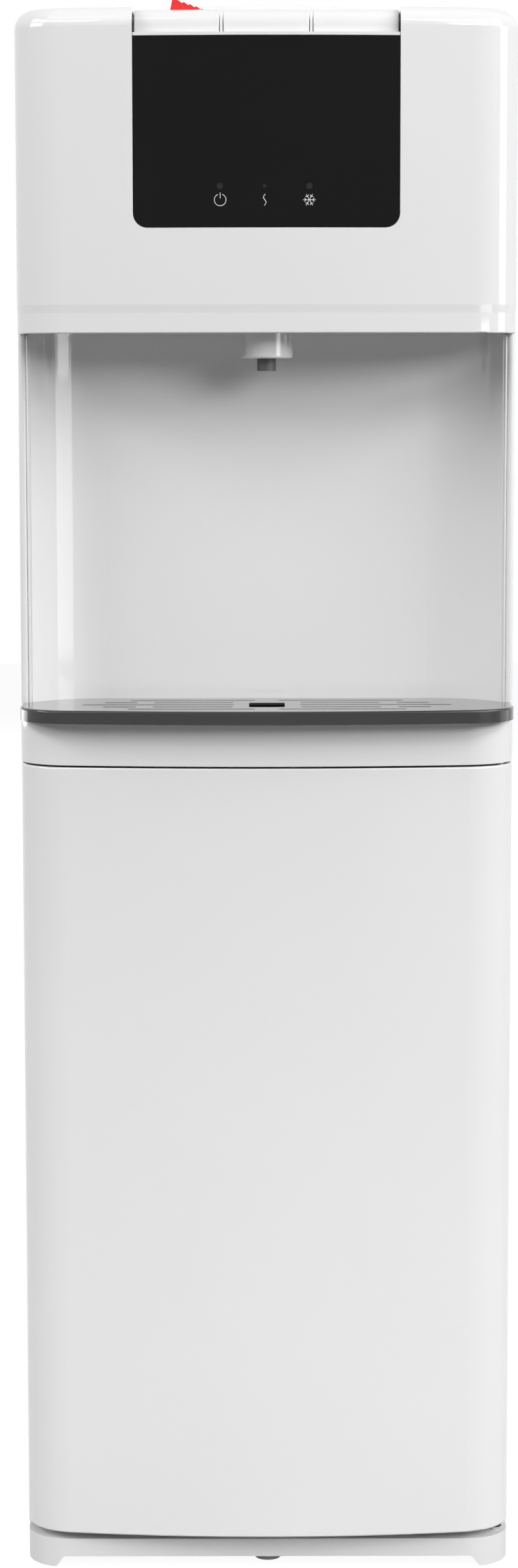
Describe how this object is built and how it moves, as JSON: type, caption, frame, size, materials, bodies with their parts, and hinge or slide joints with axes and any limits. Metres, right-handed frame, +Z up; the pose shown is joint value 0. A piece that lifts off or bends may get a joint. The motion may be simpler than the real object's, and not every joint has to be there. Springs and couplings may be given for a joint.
{
  "type": "bottom-loading water cooler",
  "caption": "Free-standing white water cooler with press keys along its top edge, a dispensing alcove with a drip tray, and a bowed door over the bottle space.",
  "frame": {"origin": "on the floor, under the middle of the whole object", "axes": "+Z up, the front with the keys and the door faces -Y, +X to the viewer's right"},
  "size_m": [0.324, 0.3754, 1.0358],
  "materials": {
    "white_gloss": "smooth gloss",
    "white_matte": "fine satin",
    "white_steel": "smooth powder coat",
    "grey_matte": "satin",
    "tray_grey": "satin, metallic tone",
    "tube_grey": "smooth",
    "black_gloss": "high gloss",
    "black_matte": "satin",
    "black_paint": "semi-gloss",
    "black_rubber": "matte",
    "lamp_smoke": "smoked gloss",
    "board_green": "matte",
    "red_gloss": "gloss",
    "green_gloss": "gloss",
    "blue_matte": "satin",
    "clear_hose": "milky, smooth",
    "foam_white": "foam",
    "bare_steel": "brushed",
    "zinc_steel": "zinc plated"
  },
  "bodies": {
    "cabinet": {"base_plinth": "white_matte", "centre_foot": "grey_matte", "side_panel_left": "white_steel", "side_panel_right": "white_steel", "rear_panel": "white_steel", "rear_panel_screws": "zinc_steel", "top_cover": "white_gloss", "head_cover": "white_gloss", "alcove_panel": "white_gloss", "tray_deck": "white_gloss", "mid_shelf": "white_steel", "tank_shelf": "white_steel", "control_frame": "white_gloss", "control_panel": "black_gloss", "lamp_lenses": "lamp_smoke", "control_board": "board_green", "key_pivot_rod": "bare_steel", "key_switches": "black_matte", "nozzle_housing": "white_gloss", "outlet_tube": "tube_grey", "dispense_valves": "white_matte", "upper_hinge": "zinc_steel", "lower_hinge": "zinc_steel", "catch_magnet": "black_matte", "probe_cap": "blue_matte", "dip_tube": "bare_steel", "probe_clip": "white_matte", "suction_hose": "clear_hose", "water_pump": "black_matte", "cold_tank": "bare_steel", "cold_foam": "foam_white", "cold_lid": "white_matte", "hot_tank": "bare_steel", "hot_jacket": "foam_white", "drain_outlet": "white_matte", "compressor": "black_paint", "compressor_grommets": "black_rubber", "condenser_tube": "black_paint", "condenser_wires": "black_paint", "condenser_brackets": "black_paint", "power_board": "board_green", "switch_housings": "black_matte", "cord_gland": "black_matte", "hot_key_spring": "bare_steel", "room_key_spring": "bare_steel", "cold_key_spring": "bare_steel"},
    "door": {"door_panel": "white_gloss", "door_liner": "white_matte", "hinge_bushes": "black_matte", "door_strike": "zinc_steel"},
    "hot_key": {"key_hot": "white_gloss"},
    "room_key": {"key_room": "white_gloss"},
    "cold_key": {"key_cold": "white_gloss"},
    "lock_slider": {"child_lock": "red_gloss"},
    "tray": {"drip_tray": "tray_grey"},
    "grille": {"drip_grille": "tray_grey"},
    "heating_switch": {"heating_rocker": "red_gloss"},
    "cooling_switch": {"cooling_rocker": "green_gloss"},
    "drain_stopper": {"drain_cap": "black_matte"}
  },
  "joints": [
    {"name": "door_swing", "type": "hinge", "parent": "cabinet", "child": "door", "pos_m": [0.153, -0.13875, 0.28], "axis": [0, 0, 1], "range_deg": [0, 110]},
    {"name": "hot_press", "type": "hinge", "parent": "cabinet", "child": "hot_key", "pos_m": [0, -0.12875, 1.008], "axis": [1, 0, 0], "range_deg": [0, 4], "stiffness_Nm_per_rad": 0.35, "springref_deg": -5.73, "deforming": ["hot_key_spring"]},
    {"name": "room_press", "type": "hinge", "parent": "cabinet", "child": "room_key", "pos_m": [0, -0.12875, 1.008], "axis": [1, 0, 0], "range_deg": [0, 4], "stiffness_Nm_per_rad": 0.35, "springref_deg": -5.73, "deforming": ["room_key_spring"]},
    {"name": "cold_press", "type": "hinge", "parent": "cabinet", "child": "cold_key", "pos_m": [0, -0.12875, 1.008], "axis": [1, 0, 0], "range_deg": [0, 4], "stiffness_Nm_per_rad": 0.35, "springref_deg": -5.73, "deforming": ["cold_key_spring"]},
    {"name": "lock_slide", "type": "slide", "parent": "hot_key", "child": "lock_slider", "axis": [-1, 0, 0], "range_m": [0, 0.01]},
    {"name": "tray_lift", "type": "slide", "parent": "cabinet", "child": "tray", "axis": [0, 0, 1], "range_m": [0, 0.06]},
    {"name": "grille_lift", "type": "slide", "parent": "tray", "child": "grille", "axis": [0, 0, 1], "range_m": [0, 0.06]},
    {"name": "heating_rock", "type": "hinge", "parent": "cabinet", "child": "heating_switch", "pos_m": [-0.11, 0.16675, 0.91103], "axis": [1, 0, 0], "range_deg": [-16, 0]},
    {"name": "cooling_rock", "type": "hinge", "parent": "cabinet", "child": "cooling_switch", "pos_m": [-0.084, 0.16675, 0.91103], "axis": [1, 0, 0], "range_deg": [-16, 0]},
    {"name": "drain_pull", "type": "slide", "parent": "cabinet", "child": "drain_stopper", "axis": [0, 1, 0], "range_m": [0, 0.03]}
  ]
}
